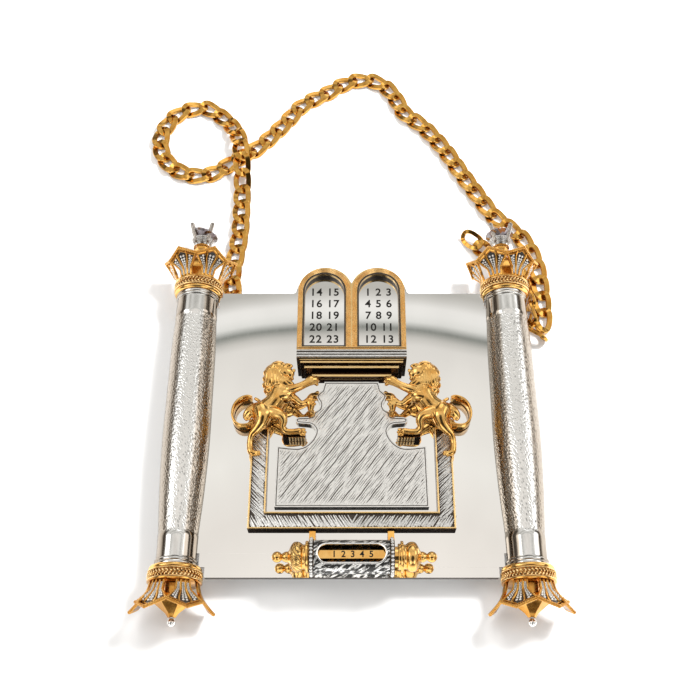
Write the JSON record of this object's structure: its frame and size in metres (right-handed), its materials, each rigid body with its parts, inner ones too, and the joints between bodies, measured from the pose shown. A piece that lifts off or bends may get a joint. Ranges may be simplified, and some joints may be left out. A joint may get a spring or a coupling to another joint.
{
  "type": "torah shield breastplate",
  "caption": "Ceremonial shield with two columns, paired tablets, rampant lions, a framed field, a turning indicator drum in a scroll holder, and a loose curb chain.",
  "frame": {"origin": "middle of the underside of the shield lying on its back, the loose chain left out", "axes": "+X to the right of the tablets, +Y towards the top of the shield, +Z out of its front face"},
  "size_m": [0.3107, 0.4649, 0.0461],
  "materials": {
    "polished_silver": "polished silver plate",
    "satin_silver": "stippled and engraved silver plate",
    "gold_plate": "polished gold plate",
    "crystal": "clear faceted crystal"
  },
  "bodies": {
    "shield": {"shield_plate": "polished_silver", "chain_eye_left": "polished_silver", "chain_eye_right": "polished_silver", "left_upper_collar": "polished_silver", "left_lower_collar": "polished_silver", "left_prong_cup": "polished_silver", "left_ball_finial": "polished_silver", "left_tube_end": "polished_silver", "right_upper_collar": "polished_silver", "right_lower_collar": "polished_silver", "right_prong_cup": "polished_silver", "right_ball_finial": "polished_silver", "right_tube_end": "polished_silver", "cornice_band": "satin_silver", "frame_infill": "satin_silver", "field_plate": "satin_silver", "scroll_tube": "satin_silver", "left_column_shaft": "satin_silver", "left_tablet_plate": "satin_silver", "left_tie_rod": "satin_silver", "right_column_shaft": "satin_silver", "right_tablet_plate": "satin_silver", "right_tie_rod": "satin_silver", "tablet_frame": "gold_plate", "cornice": "gold_plate", "u_frame": "gold_plate", "left_lion": "gold_plate", "right_lion": "gold_plate", "left_hanger_strap": "gold_plate", "right_hanger_strap": "gold_plate", "jump_ring": "gold_plate", "chain_stretch_1": "gold_plate", "chain_stretch_2": "gold_plate", "chain_stretch_3": "gold_plate", "chain_stretch_4": "gold_plate", "chain_end_link": "gold_plate", "left_upper_cap": "gold_plate", "left_upper_rope_ring": "gold_plate", "left_upper_crown": "gold_plate", "left_upper_core": "gold_plate", "left_lower_cap": "gold_plate", "left_lower_rope_ring": "gold_plate", "left_lower_crown": "gold_plate", "left_lower_core": "gold_plate", "right_upper_cap": "gold_plate", "right_upper_rope_ring": "gold_plate", "right_upper_crown": "gold_plate", "right_upper_core": "gold_plate", "right_lower_cap": "gold_plate", "right_lower_rope_ring": "gold_plate", "right_lower_crown": "gold_plate", "right_lower_core": "gold_plate", "left_crystal": "crystal", "right_crystal": "crystal"},
    "drum": {"indicator_drum": "gold_plate", "left_knob": "gold_plate", "right_knob": "gold_plate"}
  },
  "joints": [
    {"name": "drum_spin", "type": "hinge", "parent": "shield", "child": "drum", "pos_m": [0, -0.10859, 0.03245], "axis": [1, 0, 0], "continuous": true}
  ]
}
